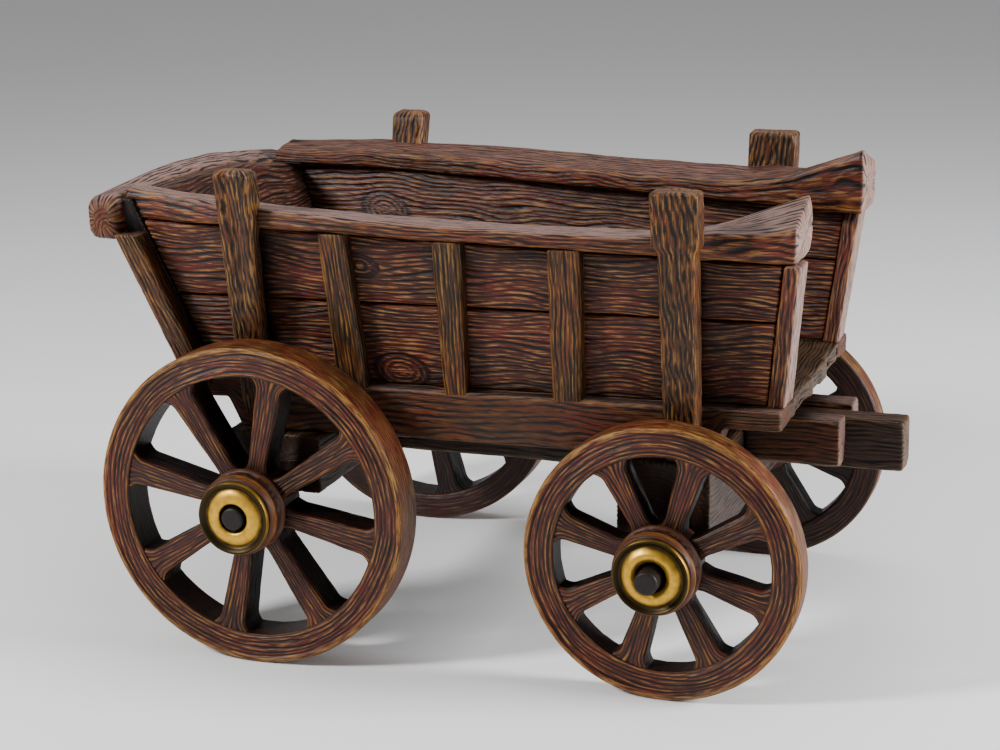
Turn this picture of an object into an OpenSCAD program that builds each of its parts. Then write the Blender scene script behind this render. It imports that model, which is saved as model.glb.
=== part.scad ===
// Four-wheeled timber wagon for the garden, with an open front and flared sides.
// +X points to the front, +Z up. The origin is on the ground, midway between the axles.

/* [Layout] */
// Distance between the two axles
wheelbase = 304; // [290:1:320]
// From each axle to the end of the wagon, at the back rail and at the pole tip
overhang = 142; // [140:1:150]
// Top of the floor above the ground
floor_z = 203; // [201:1:205]

/* [Wheels] */
// Radius of a rear wheel
rear_wheel_r = 120; // [114:1:121]
// Radius of a front wheel
front_wheel_r = 100; // [94:1:102]
// Width of a rear rim
rear_rim_w = 32; // [28:1:34]
// Width of a front rim
front_rim_w = 23; // [21:1:25]
// Distance between the outer faces of the rear rims
rear_track = 378; // [378:1:384]
// Distance between the outer faces of the front rims
front_track = 340; // [338:1:346]
// Depth of a rim from tread to inner edge
rim_depth = 22; // [18:1:24]
// Number of spokes in each wheel
spoke_count = 8; // [6:1:10]
// Width of a spoke where it meets the rim
spoke_w_rim = 21; // [16:1:22]
// Width of a spoke where it meets the hub
spoke_w_hub = 13; // [10:0.5:14]
// Radius of the steel axles
axle_r = 7; // [6:0.5:7.5]

/* [Body] */
// Half width of the body at the front of the floor, to the outside of the boards
front_half_w = 110; // [108:1:112]
// How far each side moves out for every millimetre towards the back
taper = 0.045; // [0.04:0.005:0.05]
// How far each side leans out for every millimetre of height
flare = 0.146; // [0.13:0.002:0.15]
// Thickness of the side boards
board_t = 22; // [16:1:24]
// Thickness of the floor planks
floor_t = 15; // [12:1:18]
// How far the battens stand out from the side boards
batten_t = 12; // [8:1:12]

/* [Hidden] */
WHEELS = ["rear_right", "rear_left", "front_right", "front_left"];
WHEEL_PARTS = ["rim", "spokes", "hub", "ring"];
SIDES = ["right", "left"];
TIMBERS = [
    "rear_axle", "front_axle", "axle_caps", "rear_axle_block", "front_axle_block",
    "rear_bolster", "front_bolster", "pole", "rear_board_lower", "rear_board_upper",
    "rear_rail", "floor_plank_front"
];
PAIRED = [
    "chassis_rail", "hound", "sill", "board_lower", "board_upper", "front_post",
    "top_rail", "rear_stake", "front_stake", "rear_post", "batten_1", "batten_2", "batten_3"
];
plank_count = 5;

// Colours
walnut = "#5b3826";
dark_walnut = "#3d261b";
weathered = "#6e4a33";
brass = "#b08a2e";
black_iron = "#1d1a1a";

// Places along the wagon
rear_x = -wheelbase / 2;
front_x = wheelbase / 2;
back_end = rear_x - overhang;
pole_tip = front_x + overhang;
floor_front = front_x + 76;
front_plank_w = 38;
plank_start = rear_x - 68;

// Heights
deck_bottom = floor_z - floor_t;
sill_bottom = floor_z - 38;
seam_z = floor_z + 61;
stake_top_rear = floor_z + 162;
stake_top_front = floor_z + 157;

// The side's reference plane is the outside of its boards
taper_a = atan(taper);
flare_a = atan(flare);
sill_t = 34.5;
ledge = 12;
seam = 1.2;
fit = 0.3;
far = 700;

// Inner face of the sills and half width of the deck at a place along the wagon
function sill_outer(x) = front_half_w + ledge + taper * (floor_front - x);
function deck_half(x) = sill_outer(x) - sill_t - fit;

// Upright edges of the side boards at a height: raked back end, leaning front end
function back_edge(z) = rear_x - 50 - 0.38 * (z - floor_z);
function front_edge(z) = floor_front - 2 + 0.12 * (z - floor_z);

// Underside of the top rail, which dips towards the front
function rail_under(x) = floor_z + 115 - 0.032 * (x - rear_x);
// Upper side of the top rail: a long sag that sweeps up at both ends
function rail_over(x) =
    floor_z + 123 + 23 * pow((front_x - 20 - x) / (front_x - 20 - back_end), 2)
    + (x > front_x - 10 ? 22 * pow((x - front_x + 10) / 90, 1.4) : 0);

// ---- helpers ----

// Left-hand pieces are mirrored right-hand pieces
module on_side(side) {
    if (side == "left")
        mirror([0, 1, 0]) children();
    else
        children();
}

// Slab of the right side between two distances out from the boards' outer face
module side_slab(inner, outer) {
    translate([floor_front, -front_half_w, floor_z])
        rotate([0, 0, taper_a])
            rotate([flare_a, 0, 0])
                translate([-far, -outer, -far / 2])
                    cube([far * 1.2, outer - inner, far]);
}

// Outline in the XZ plane carried across the wagon's right half
module side_profile(points) {
    rotate([90, 0, 0]) linear_extrude(far / 2) polygon(points);
}

// Piece of a leaning slab that an outline in the XZ plane cuts out
module side_cut(inner, outer, points) {
    intersection() {
        side_slab(inner, outer);
        side_profile(points);
    }
}

// Upright that leans out by its own slope, with its outer face at y at the top
module leaning_slab(y_top, z_top, slope, thickness) {
    translate([0, -y_top, z_top])
        rotate([atan(slope), 0, 0])
            translate([-far / 2, 0, -far])
                cube([far, thickness, far * 1.5]);
}

// Turn a profile drawn as [radius, distance out] about the wheel's axis, for the right side
module turned(x, z, y_inner) {
    translate([x, -y_inner, z]) rotate([90, 0, 0]) rotate_extrude($fn = 96) children();
}

// ---- wheels ----

function is_rear(w) = w == "rear_right" || w == "rear_left";
function wheel_side(w) = (w == "rear_left" || w == "front_left") ? "left" : "right";
function wheel_r(w) = is_rear(w) ? rear_wheel_r : front_wheel_r;
function wheel_x(w) = is_rear(w) ? rear_x : front_x;
function rim_w(w) = is_rear(w) ? rear_rim_w : front_rim_w;
function rim_inside(w) = (is_rear(w) ? rear_track : front_track) / 2 - rim_w(w);
// How far the first spoke is turned below the axle. The rear left wheel stands turned from its mirror place
function spoke_phase(w) = w == "rear_left" ? 32 : (is_rear(w) ? 12 : 17);

hub_r = 28;
flange_r = 31;
hub_nose = 21;
bore_r = axle_r + 0.05;
ring_hole_r = 10.5;
ring_t = 5;

module place_wheel(w) {
    on_side(wheel_side(w))
        turned(wheel_x(w), wheel_r(w), rim_inside(w))
            children();
}

module wheel_rim(w) {
    edge = 2;
    outer = wheel_r(w);
    inner = outer - rim_depth;
    color(weathered)
        place_wheel(w)
            polygon([
                [inner, edge], [inner + edge, 0], [outer - edge, 0], [outer, edge],
                [outer, rim_w(w) - edge], [outer - edge, rim_w(w)],
                [inner + edge, rim_w(w)], [inner, rim_w(w) - edge]
            ]);
}

module spoke_outline(reach) {
    polygon([
        [0, -spoke_w_hub / 2], [hub_r, -spoke_w_hub / 2], [reach, -spoke_w_rim / 2],
        [reach, spoke_w_rim / 2], [hub_r, spoke_w_hub / 2], [0, spoke_w_hub / 2]
    ]);
}

module wheel_spokes(w) {
    inset = 2;
    inner = wheel_r(w) - rim_depth;
    color(walnut)
        on_side(wheel_side(w))
            translate([wheel_x(w), -rim_inside(w) - inset, wheel_r(w)])
                rotate([90, 0, 0])
                    intersection() {
                        for (i = [0:spoke_count - 1])
                            rotate([0, 0, i * 360 / spoke_count - spoke_phase(w)])
                                linear_extrude(rim_w(w) - 2 * inset) spoke_outline(inner + 5);
                        difference() {
                            cylinder(h = far, r = inner, center = true, $fn = 96);
                            cylinder(h = far, r = hub_r, center = true, $fn = 96);
                        }
                    }
}

// Distance from the rim's inside to the hub's outer face
function hub_face(w) = rim_w(w) + hub_nose;

module wheel_hub(w) {
    body = rim_w(w);
    face = hub_face(w);
    color(dark_walnut)
        place_wheel(w)
            polygon([
                [bore_r, -3], [hub_r - 4, -3], [hub_r, 1], [hub_r, body], [flange_r, body],
                [flange_r, body + 4], [hub_r + 1, body + 5], [hub_r + 1, body + 12],
                [hub_r + 2, body + 13], [hub_r + 2, body + 17], [hub_r, face],
                [bore_r, face]
            ]);
}

module wheel_ring(w) {
    face = hub_face(w);
    color(brass)
        place_wheel(w)
            polygon([
                [ring_hole_r, face], [hub_r, face], [hub_r - 1, face + ring_t],
                [hub_r - 4, face + ring_t], [hub_r - 7, face + 2], [18, face + 3],
                [16, face + ring_t], [13, face + ring_t], [ring_hole_r, face + 3]
            ]);
}

// ---- axles ----

collar_r = 13;

module axle(x, z, block_half, hub_inner, tip) {
    color(black_iron)
        for (side = SIDES)
            on_side(side)
                turned(x, z, 0)
                    polygon([
                        [0, 0], [axle_r, 0], [axle_r, block_half + fit], [collar_r, block_half + fit],
                        [collar_r, hub_inner - fit], [axle_r, hub_inner - fit], [axle_r, tip], [0, tip]
                    ]);
}

rear_block_half = 145;
front_block_half = 138;
rear_hub_in = rim_inside("rear_right") - 3;
front_hub_in = rim_inside("front_right") - 3;
rear_axle_tip = rim_inside("rear_right") + hub_face("rear_right");
front_axle_tip = rim_inside("front_right") + hub_face("front_right");

module rear_axle() {
    axle(rear_x, rear_wheel_r, rear_block_half, rear_hub_in, rear_axle_tip);
}

module front_axle() {
    axle(front_x, front_wheel_r, front_block_half, front_hub_in, front_axle_tip);
}

module axle_caps() {
    cap_r = 8.6;
    color(black_iron)
        for (side = SIDES)
            on_side(side) {
                turned(rear_x, rear_wheel_r, rear_axle_tip)
                    polygon([[0, 0], [cap_r, fit], [cap_r, 4], [cap_r - 1.5, 6], [0, 6]]);
                turned(front_x, front_wheel_r, front_axle_tip)
                    polygon([[0, 0], [cap_r, fit], [cap_r, 14], [cap_r - 1.5, 16], [0, 16]]);
            }
}

// ---- running gear ----

module axle_block(x0, x1, z0, half, axle_x) {
    color(dark_walnut)
        difference() {
            translate([x0, -half, z0])
                cube([x1 - x0, 2 * half, sill_bottom - z0]);
            translate([axle_x, 0, z0])
                rotate([90, 0, 0])
                    cylinder(h = far, r = axle_r, center = true, $fn = 64);
        }
}

rear_block_x = [rear_x - 38, rear_x + 39];
front_block_x = [front_x - 41, front_x + 28];

module rear_axle_block() {
    axle_block(rear_block_x[0], rear_block_x[1], rear_wheel_r, rear_block_half, rear_x);
}

module front_axle_block() {
    axle_block(front_block_x[0], front_block_x[1], front_wheel_r, front_block_half, front_x);
}

module bolster(x) {
    half_l = 17;
    color(dark_walnut)
        translate([0, 0, sill_bottom])
            linear_extrude(deck_bottom - sill_bottom)
                polygon([
                    [x - half_l, -deck_half(x - half_l)], [x + half_l, -deck_half(x + half_l)],
                    [x + half_l, deck_half(x + half_l)], [x - half_l, deck_half(x - half_l)]
                ]);
}

module rear_bolster() {
    bolster(rear_x);
}

module front_bolster() {
    bolster(front_x);
}

module chassis_rail(side) {
    color(dark_walnut)
        on_side(side)
            translate([rear_block_x[1], -78, sill_bottom - 27])
                cube([front_block_x[0] - rear_block_x[1], 28, 27]);
}

pole_half = 13;

module pole() {
    color(weathered)
        translate([front_block_x[1], -pole_half, floor_z - 71])
            cube([pole_tip - front_block_x[1], 2 * pole_half, 39]);
}

module hound(side) {
    color(weathered)
        on_side(side)
            translate([front_block_x[1], -38, floor_z - 64])
                cube([floor_front + 23 - front_block_x[1], 38 - pole_half, 36]);
}

// ---- body ----

module rear_stake_solid() {
    intersection() {
        leaning_slab(176, stake_top_rear, 0.19, 16);
        side_profile([
            [rear_x - 25, sill_bottom], [rear_x - 4, sill_bottom],
            [rear_x + 5, stake_top_rear - 4], [rear_x + 2, stake_top_rear],
            [rear_x - 22, stake_top_rear], [rear_x - 25, stake_top_rear - 4]
        ]);
    }
}

module front_stake_solid() {
    neck = stake_top_front - 44;
    intersection() {
        leaning_slab(158, stake_top_front, 0.1, 20);
        side_profile([
            [front_x - 6, sill_bottom], [front_x + 18, sill_bottom], [front_x + 20, neck],
            [front_x + 23, neck + 4], [front_x + 23, stake_top_front - 3],
            [front_x + 20, stake_top_front], [front_x - 10, stake_top_front],
            [front_x - 13, stake_top_front - 3], [front_x - 13, neck + 4], [front_x - 8, neck]
        ]);
    }
}

module rear_stake(side) {
    color(weathered) on_side(side) rear_stake_solid();
}

module front_stake(side) {
    color(weathered) on_side(side) front_stake_solid();
}

module sill(side) {
    tail = plank_start;
    nose = floor_front - front_plank_w - fit;
    color(walnut)
        on_side(side)
            difference() {
                intersection() {
                    translate([floor_front, -front_half_w - ledge, 0])
                        rotate([0, 0, taper_a])
                            translate([-far, 0, 0])
                                cube([far * 1.2, sill_t, far]);
                    side_profile([
                        [tail, floor_z], [tail, deck_bottom], [rear_x - 36, deck_bottom],
                        [rear_x - 26, sill_bottom], [front_x + 25, sill_bottom],
                        [front_x + 33, deck_bottom], [nose, deck_bottom], [nose, floor_z]
                    ]);
                }
                rear_stake_solid();
                front_stake_solid();
            }
}

post_w = 13;

module board_lower(side) {
    color(walnut)
        on_side(side)
            side_cut(-board_t, 0, [
                [back_edge(floor_z), floor_z], [front_edge(floor_z) - post_w, floor_z],
                [front_edge(seam_z) - post_w, seam_z], [back_edge(seam_z), seam_z]
            ]);
}

module board_upper(side) {
    z0 = seam_z + seam;
    z_back = rail_under(back_edge(floor_z + 110));
    z_front = rail_under(front_x + 80);
    color(walnut)
        on_side(side)
            side_cut(-board_t, 0, [
                [back_edge(z0), z0], [front_edge(z0) - post_w, z0],
                [front_edge(z_front) - post_w, z_front], [back_edge(z_back), z_back]
            ]);
}

module front_post(side) {
    z1 = rail_under(front_x + 86);
    color(weathered)
        on_side(side)
            side_cut(-board_t - 6, 2, [
                [front_edge(floor_z) - post_w, floor_z], [front_edge(floor_z), floor_z],
                [front_edge(z1), z1], [front_edge(z1) - post_w, z1]
            ]);
}

// Battens: distance of the lower and upper left corner from the rear axle, and their widths
BATTENS = [[50, 46, 24, 22], [132, 131, 18, 23], [213, 215, 23, 25]];

module batten(side, i) {
    b = BATTENS[i];
    z1 = rail_under(rear_x + b[0] + 40);
    color(weathered)
        on_side(side)
            side_cut(0, batten_t, [
                [rear_x + b[0], floor_z], [rear_x + b[0] + b[2], floor_z],
                [rear_x + b[1] + b[3], z1], [rear_x + b[1], z1]
            ]);
}

rail_front = front_x + 90;
rail_back = back_edge(floor_z + 141);

module top_rail(side) {
    step = 20;
    foot = back_edge(rail_under(rail_back)) + fit;
    xs = [for (x = [rail_back:step:rail_front - step / 2]) x];
    stations = concat(xs, [rail_front]);
    color(weathered)
        on_side(side)
            difference() {
                intersection() {
                    translate([0, 0, floor_z])
                        linear_extrude(far / 3)
                            polygon([
                                [rail_back, -110], [rear_x, -113], [front_x + 8, -84],
                                [rail_front, -70], [rail_front, -124], [front_x + 26, -131],
                                [front_x + 6, -140], [rear_x + 150, -152], [rear_x + 40, -158],
                                [rear_x - 30, -157], [rail_back, -147]
                            ]);
                    side_profile(concat(
                        [for (x = stations) [x, rail_over(x)]],
                        [[rail_front, rail_under(rail_front)], [foot, rail_under(foot)]]
                    ));
                }
                rear_stake_solid();
                front_stake_solid();
            }
}

rear_rail_half = 160;
rear_rail_z = floor_z + 103;
rear_rail_in = back_end + 34;
rear_board_top = floor_z + 134;

module rear_rail() {
    ends = floor_z + 136;
    arch = 6;
    bow = 6;
    cut = 4;
    steps = 16;
    ys = [for (i = [0:steps]) rear_rail_half * (2 * i / steps - 1)];
    color(weathered)
        intersection() {
            translate([0, 0, floor_z])
                linear_extrude(far / 3)
                    polygon(concat(
                        [[rear_rail_in, rear_rail_half], [rear_rail_in, -rear_rail_half]],
                        [for (y = ys) [back_end + bow * pow(y / rear_rail_half, 2), y]]
                    ));
            rotate([90, 0, 90])
                linear_extrude(far, center = true)
                    polygon(concat(
                        [[rear_rail_half, rear_rail_z + cut], [rear_rail_half - cut, rear_rail_z],
                         [cut - rear_rail_half, rear_rail_z], [-rear_rail_half, rear_rail_z + cut]],
                        [for (y = ys) [y, ends + arch * (1 - pow(y / rear_rail_half, 2))]]
                    ));
        }
}

rear_board_t = 18;

// Leaning slab behind the raked back ends of the side boards, cut off where the rear rail lies
module rear_slab(z0, z1) {
    intersection() {
        rotate([90, 0, 0])
            linear_extrude(far, center = true)
                intersection() {
                    polygon([
                        [back_edge(z0), z0], [back_edge(z1), z1],
                        [back_edge(z1) - rear_board_t, z1], [back_edge(z0) - rear_board_t, z0]
                    ]);
                    translate([rear_rail_in, 0]) square(far);
                }
        difference() {
            translate([-far, -far / 2, 0]) cube([far, far, far]);
            for (side = SIDES)
                on_side(side) side_slab(0, far / 2);
        }
    }
}

module rear_board_lower() {
    color(walnut) rear_slab(floor_z, seam_z);
}

module rear_board_upper() {
    color(walnut) rear_slab(seam_z + seam, rear_board_top);
}

module rear_post(side) {
    post = 20;
    z0 = floor_z;
    z1 = rear_rail_z;
    color(weathered)
        on_side(side)
            side_cut(0, 17, [
                [back_edge(z0), z0], [back_edge(z1), z1],
                [back_edge(z1) - post, z1], [back_edge(z0) - post, z0]
            ]);
}

module deck_plank(x0, x1, half0, half1) {
    color(walnut)
        translate([0, 0, deck_bottom])
            linear_extrude(floor_t)
                polygon([[x0, -half0], [x1, -half1], [x1, half1], [x0, half0]]);
}

module floor_plank(i) {
    gap = 0.8;
    pitch = (floor_front - front_plank_w - plank_start) / plank_count;
    x0 = plank_start + (i - 1) * pitch;
    x1 = x0 + pitch - gap;
    deck_plank(x0, x1, deck_half(x0), deck_half(x1));
}

module floor_plank_front() {
    x0 = floor_front - front_plank_w;
    deck_plank(x0, floor_front, sill_outer(x0), sill_outer(floor_front));
}

// ---- nodes ----

for (w = WHEELS) {
    wheel_rim(w);
    wheel_spokes(w);
    wheel_hub(w);
    wheel_ring(w);
}

rear_axle();
front_axle();
axle_caps();
rear_axle_block();
front_axle_block();
rear_bolster();
front_bolster();
pole();
rear_board_lower();
rear_board_upper();
rear_rail();
floor_plank_front();

for (s = SIDES) {
    chassis_rail(s);
    hound(s);
    sill(s);
    board_lower(s);
    board_upper(s);
    front_post(s);
    top_rail(s);
    rear_stake(s);
    front_stake(s);
    rear_post(s);
    for (i = [0:len(BATTENS) - 1])
        batten(s, i);
}

for (i = [1:plank_count])
    floor_plank(i);
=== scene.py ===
"""Looks of the timber garden wagon: carved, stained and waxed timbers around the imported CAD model."""

import math

import bpy
import numpy as np
from mathutils import Matrix, Vector
from mathutils.bvhtree import BVHTree


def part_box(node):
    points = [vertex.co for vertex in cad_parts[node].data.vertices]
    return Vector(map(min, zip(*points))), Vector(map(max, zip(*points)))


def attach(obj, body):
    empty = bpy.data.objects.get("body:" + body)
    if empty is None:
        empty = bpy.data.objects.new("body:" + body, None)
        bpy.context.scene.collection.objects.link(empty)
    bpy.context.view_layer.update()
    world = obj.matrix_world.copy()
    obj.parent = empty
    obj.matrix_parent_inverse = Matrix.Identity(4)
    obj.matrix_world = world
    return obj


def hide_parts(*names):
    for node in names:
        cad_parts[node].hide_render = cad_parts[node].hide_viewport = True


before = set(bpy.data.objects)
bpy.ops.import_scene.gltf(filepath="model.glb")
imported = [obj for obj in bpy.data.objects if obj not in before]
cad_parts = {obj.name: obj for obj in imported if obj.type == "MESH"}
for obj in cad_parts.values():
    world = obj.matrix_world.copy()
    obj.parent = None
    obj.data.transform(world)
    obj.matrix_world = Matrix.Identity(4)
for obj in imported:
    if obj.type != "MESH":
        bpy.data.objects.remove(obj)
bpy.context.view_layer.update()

MM = 0.001
SIDES = {"right": -1, "left": 1}
ALONG_X, ALONG_Y, ALONG_Z = np.eye(3)


# ---- places, all in millimetres ----


def box_mm(node):
    """Lowest and highest corner of a CAD node."""
    low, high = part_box(node)
    return np.array(low) / MM, np.array(high) / MM


RIM_LOW, RIM_HIGH = zip(*(box_mm(f"{end}_right_rim") for end in ("rear", "front")))
AXLE_X = {"rear": (RIM_LOW[0][0] + RIM_HIGH[0][0]) / 2, "front": (RIM_LOW[1][0] + RIM_HIGH[1][0]) / 2}
WHEEL_R = {"rear": RIM_HIGH[0][2] / 2, "front": RIM_HIGH[1][2] / 2}
FLOOR_TOP = box_mm("floor_plank_3")[1][2]
DECK_BOTTOM = box_mm("floor_plank_3")[0][2]
FLOOR_FRONT = box_mm("floor_plank_front")[1][0]
REAR_X, FRONT_X = AXLE_X["rear"], AXLE_X["front"]


# ---- random but steady waves ----


def lattice(ix, iy, seed):
    """A steady random number from 0 to 1 for each crossing of a square lattice."""
    n = (ix * 374761393 + iy * 668265263 + seed * 144269504) & 0xFFFFFFFF
    n = ((n ^ (n >> 13)) * 1274126177) & 0xFFFFFFFF
    return ((n ^ (n >> 16)) & 0xFFFF) / 65535.0


def ease(x):
    """Smooth step from 0 to 1, clamped."""
    x = np.clip(x, 0.0, 1.0)
    return x * x * (3 - 2 * x)


def waves(x, y, seed):
    """Smooth random hills and hollows from about -1 to 1, one to each unit of x and y."""
    x, y = np.broadcast_arrays(np.asarray(x, float), np.asarray(y, float))
    ix, iy = np.floor(x).astype(np.int64), np.floor(y).astype(np.int64)
    fx, fy = x - ix, y - iy

    def slope(dx, dy):
        angle = lattice(ix + dx, iy + dy, seed) * 2 * math.pi
        return np.cos(angle) * (fx - dx) + np.sin(angle) * (fy - dy)

    u, v = ease(fx), ease(fy)
    low = slope(0, 0) * (1 - u) + slope(1, 0) * u
    high = slope(0, 1) * (1 - u) + slope(1, 1) * u
    return 1.6 * (low * (1 - v) + high * v)


def round_waves(t, radius, size, seed):
    """Waves along a distance walked round a circle, which meet where the circle closes."""
    return waves(radius * np.cos(t / radius) / size + 50, radius * np.sin(t / radius) / size + 50, seed)


# ---- how the timbers are carved ----

# spacing and run: distance between grooves and how far one runs; wander: how far it strays;
# crisp: how thin its line is; depth: how deep it is cut; tilt: how much it slants;
# faint: the least force on it; rub: how much the timber's edges are rubbed;
# uneven and chip: hollows in its faces and nicks in its edges. Lengths are in millimetres.
CARVING = dict(
    spacing=3.4, run=40, wander=3.5, crisp=3.0, rub=0.8, depth=0.8, tilt=0.0, faint=0.3, uneven=0.9, chip=1.1
)
BOARD = dict(CARVING, spacing=3.7, run=75, wander=5.0, crisp=3.6, depth=0.95, uneven=0.7, chip=0.8)
BATTEN = dict(CARVING, spacing=3.0, run=36, wander=1.8, tilt=0.02)
STAKE = dict(CARVING, spacing=3.6, run=13, wander=3.0, crisp=2.4, tilt=0.12, faint=0.1, chip=1.2)
RAIL = dict(CARVING, spacing=4.4, run=34, depth=0.55, faint=0.08, uneven=1.4, chip=1.5)
SILL = dict(CARVING, spacing=4.2, run=36, wander=4.5, depth=0.65, faint=0.1, chip=1.0)
DECK = dict(CARVING, spacing=3.0, run=34, wander=4.0, depth=0.6, uneven=0.6, chip=0.6)
POST = dict(CARVING, spacing=3.2, run=22, wander=2.5, depth=0.7, tilt=0.05, chip=1.2)
BEAM = dict(CARVING, run=36, depth=0.85, uneven=0.8, chip=1.2)
SPOKE = dict(CARVING, spacing=2.5, run=44, wander=1.0, crisp=2.6, rub=0.3, faint=0.5, uneven=0.4, chip=0.5)
FELLOE = dict(CARVING, spacing=3.2, run=60, wander=1.4, faint=0.55, depth=1.0, uneven=0.2, chip=0.4)
NAVE = dict(CARVING, spacing=3.0, run=6, wander=1.0, crisp=2.0, depth=0.5, uneven=0.3, chip=0.4)
METAL = dict(CARVING, spacing=9.0, run=20, wander=0.0, depth=0.0, uneven=0.15, chip=0.1)
RING_GAP = 3.4


def gouge(t, s, cut, seed, knots=()):
    """How deep the gouge went at each point, from 0 on a ridge to 1 in the bottom of a groove.
    t runs along the timber and s round it. The lines part round a knot, which has its own rings."""
    q = s + cut["wander"] * waves(t / 50, s / 34, seed) + cut["tilt"] * t
    core = np.zeros_like(q)
    eye = np.zeros_like(q)
    for kt, ks, size in knots:
        d = np.hypot((t - kt) / (1.5 * size), (s - ks) / size)
        q = q + (ks - s) * 1.15 / (1 + d * d) ** 1.3
        core = np.maximum(core, ease((1.15 - d) / 0.25))
        rings = (0.5 + 0.5 * np.cos(2 * math.pi * d * size / RING_GAP)) ** 3
        eye = np.where(d < 1.2, np.maximum(0.7 * rings * (d > 0.25), np.exp(-(((d - 1) / 0.09) ** 2))), eye)
    phase = q / cut["spacing"]
    phase = phase + 0.55 * waves(t / cut["run"], q / (2.4 * cut["spacing"]), seed + 1)
    phase = phase + 0.12 * waves(t / (0.25 * cut["run"]), q / cut["spacing"], seed + 2)
    line = (0.5 + 0.5 * np.cos(2 * math.pi * phase)) ** cut["crisp"]
    force = 0.68 + 0.9 * waves(t / (0.6 * cut["run"]), q / (1.4 * cut["spacing"]), seed + 3)
    groove = line * np.clip(force, cut["faint"], 1.0)
    return groove * (1 - core) + eye * core


# ---- surfaces ----


ARC_POINTS = 9


def outline(width, height, corner, step):
    """A rounded rectangle walked from one corner: its points from -1 to 1 across and up,
    the distance walked and the distance to the nearest corner."""
    r = min(corner, 0.499 * width, 0.499 * height)
    points = []
    for start, (cx, cy) in zip((225, 270, 360, 450, 540), ((-1, -1), (1, -1), (1, 1), (-1, 1), (-1, -1))):
        sweep = 45 if start in (225, 540) else 90
        for angle in np.radians(np.linspace(start, start + sweep, ARC_POINTS)):
            across, up = width / 2 - r, height / 2 - r
            points.append((cx * across + r * math.cos(angle), cy * up + r * math.sin(angle)))
    points = np.array(points)
    walked = np.concatenate([[0], np.cumsum(np.linalg.norm(np.diff(points, axis=0), axis=1))])
    total = walked[-1]
    s = np.linspace(0, total, max(16, round(total / step)), endpoint=False)
    a = np.interp(s, walked, points[:, 0]) / (width / 2)
    b = np.interp(s, walked, points[:, 1]) / (height / 2)
    middles = [ARC_POINTS * arc + ARC_POINTS // 2 for arc in (1, 2, 3)]
    corners = np.array([0, *walked[middles], total])
    near = np.abs(s[:, None] - corners[None]).min(1)
    return a, b, s, near


def grid_normals(grid, closed):
    """Unit normals of a grid of points that closes round its second axis, and its first if closed."""
    if closed:
        down = np.roll(grid, -1, 0) - np.roll(grid, 1, 0)
    else:
        down = np.gradient(grid, axis=0)
    sideways = np.roll(grid, -1, 1) - np.roll(grid, 1, 1)
    normal = np.cross(down, sideways)
    return normal / np.maximum(np.linalg.norm(normal, axis=2, keepdims=True), 1e-9)


def skin(grid, closed, marks):
    """Faces over a grid of points, with a fan over each open end, facing outwards."""
    rows, cols = grid.shape[:2]
    index = np.arange(rows * cols).reshape(rows, cols)
    below = np.roll(index, -1, 0) if closed else index[1:]
    here = index if closed else index[:-1]
    quads = np.stack([here, np.roll(here, -1, 1), np.roll(below, -1, 1), below], -1).reshape(-1, 4)
    points = grid.reshape(-1, 3)
    fans = np.zeros((0, 3), int)
    marks = {name: values.reshape(rows * cols, -1) for name, values in marks.items()}
    if not closed:
        first, last = len(points), len(points) + 1
        points = np.vstack([points, grid[0].mean(0), grid[-1].mean(0)])
        marks = {
            name: np.vstack([values, values[:cols].mean(0), values[-cols:].mean(0)])
            for name, values in marks.items()
        }
        fans = np.vstack(
            [
                np.stack([np.roll(index[0], -1), index[0], np.full(cols, first)], -1),
                np.stack([index[-1], np.roll(index[-1], -1), np.full(cols, last)], -1),
            ]
        )
    p = points[quads]
    volume = (np.cross(p[:, 1] - p[:, 0], p[:, 2] - p[:, 0]) * (p[:, 0] - points.mean(0))).sum()
    if volume < 0:
        quads, fans = quads[:, ::-1], fans[:, ::-1]
    return dict(points=points, quads=quads, fans=fans, marks=marks)


GRAIN_SHIFT = 7.3  # keeps two timbers from sharing one grain


def carve(grid, closed, t, s, worn, inward, depth, seed, groove, painted_light, shade):
    """Pushes a grid in along its own normals and notes what the finish needs to know."""
    normal = grid_normals(grid, closed)
    way = 1 if np.einsum("ijk,ijk->", normal, grid - grid.mean(1, keepdims=True)) > 0 else -1
    grid = grid - way * normal * (inward + depth * groove)[..., None]
    bare = way * grid_normals(grid, closed)
    marks = dict(
        grain=np.stack([t, s, np.full_like(t, GRAIN_SHIFT * seed)], -1),
        cut=groove,
        worn=worn,
        # painted light: faces turned upwards, and forwards, are marked to be painted paler
        painted_light_mask=np.clip(np.maximum(bare[..., 2] * painted_light[0], bare[..., 0] * painted_light[1]), 0, 1),
    )
    return dict(skin(grid, closed, marks), grid=grid, facing=way * normal, shade=shade, closed=closed)


# ---- painted shade where a body's own solids shut a surface in ----

REACH = 60  # how far off a wall still shuts a point in
CLEARANCE = 2.5  # how far in front of the surface a ray starts
RAY_COUNT = 14
RAY_TURN = math.pi * (3 - math.sqrt(5)) * np.arange(RAY_COUNT)
RAY_HEIGHT = 1 - 2 * (np.arange(RAY_COUNT) + 0.5) / RAY_COUNT
RAY_WIDTH = np.sqrt(1 - RAY_HEIGHT**2)
RAYS = 0.97 * np.stack([RAY_WIDTH * np.cos(RAY_TURN), RAY_WIDTH * np.sin(RAY_TURN), RAY_HEIGHT], -1)
STRIDES = (6, 4)  # rays start from every sixth row and fourth column
SOLIDS = {}


def solids_of(body):
    """A body's CAD solids, ready to be struck by rays."""
    if body not in SOLIDS:
        wheels = tuple(f"{end}_{side}_" for end in AXLE_X for side in SIDES)
        wheel = body.replace("wheel", "")
        points, faces = [], []
        for name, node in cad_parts.items():
            mine = not name.startswith(wheels) if body == "root" else name.startswith(wheel)
            if mine:
                faces += [[i + len(points) for i in face.vertices] for face in node.data.polygons]
                points += [vertex.co[:] for vertex in node.data.vertices]
        SOLIDS[body] = BVHTree.FromPolygons(points, faces)
    return SOLIDS[body]


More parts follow.
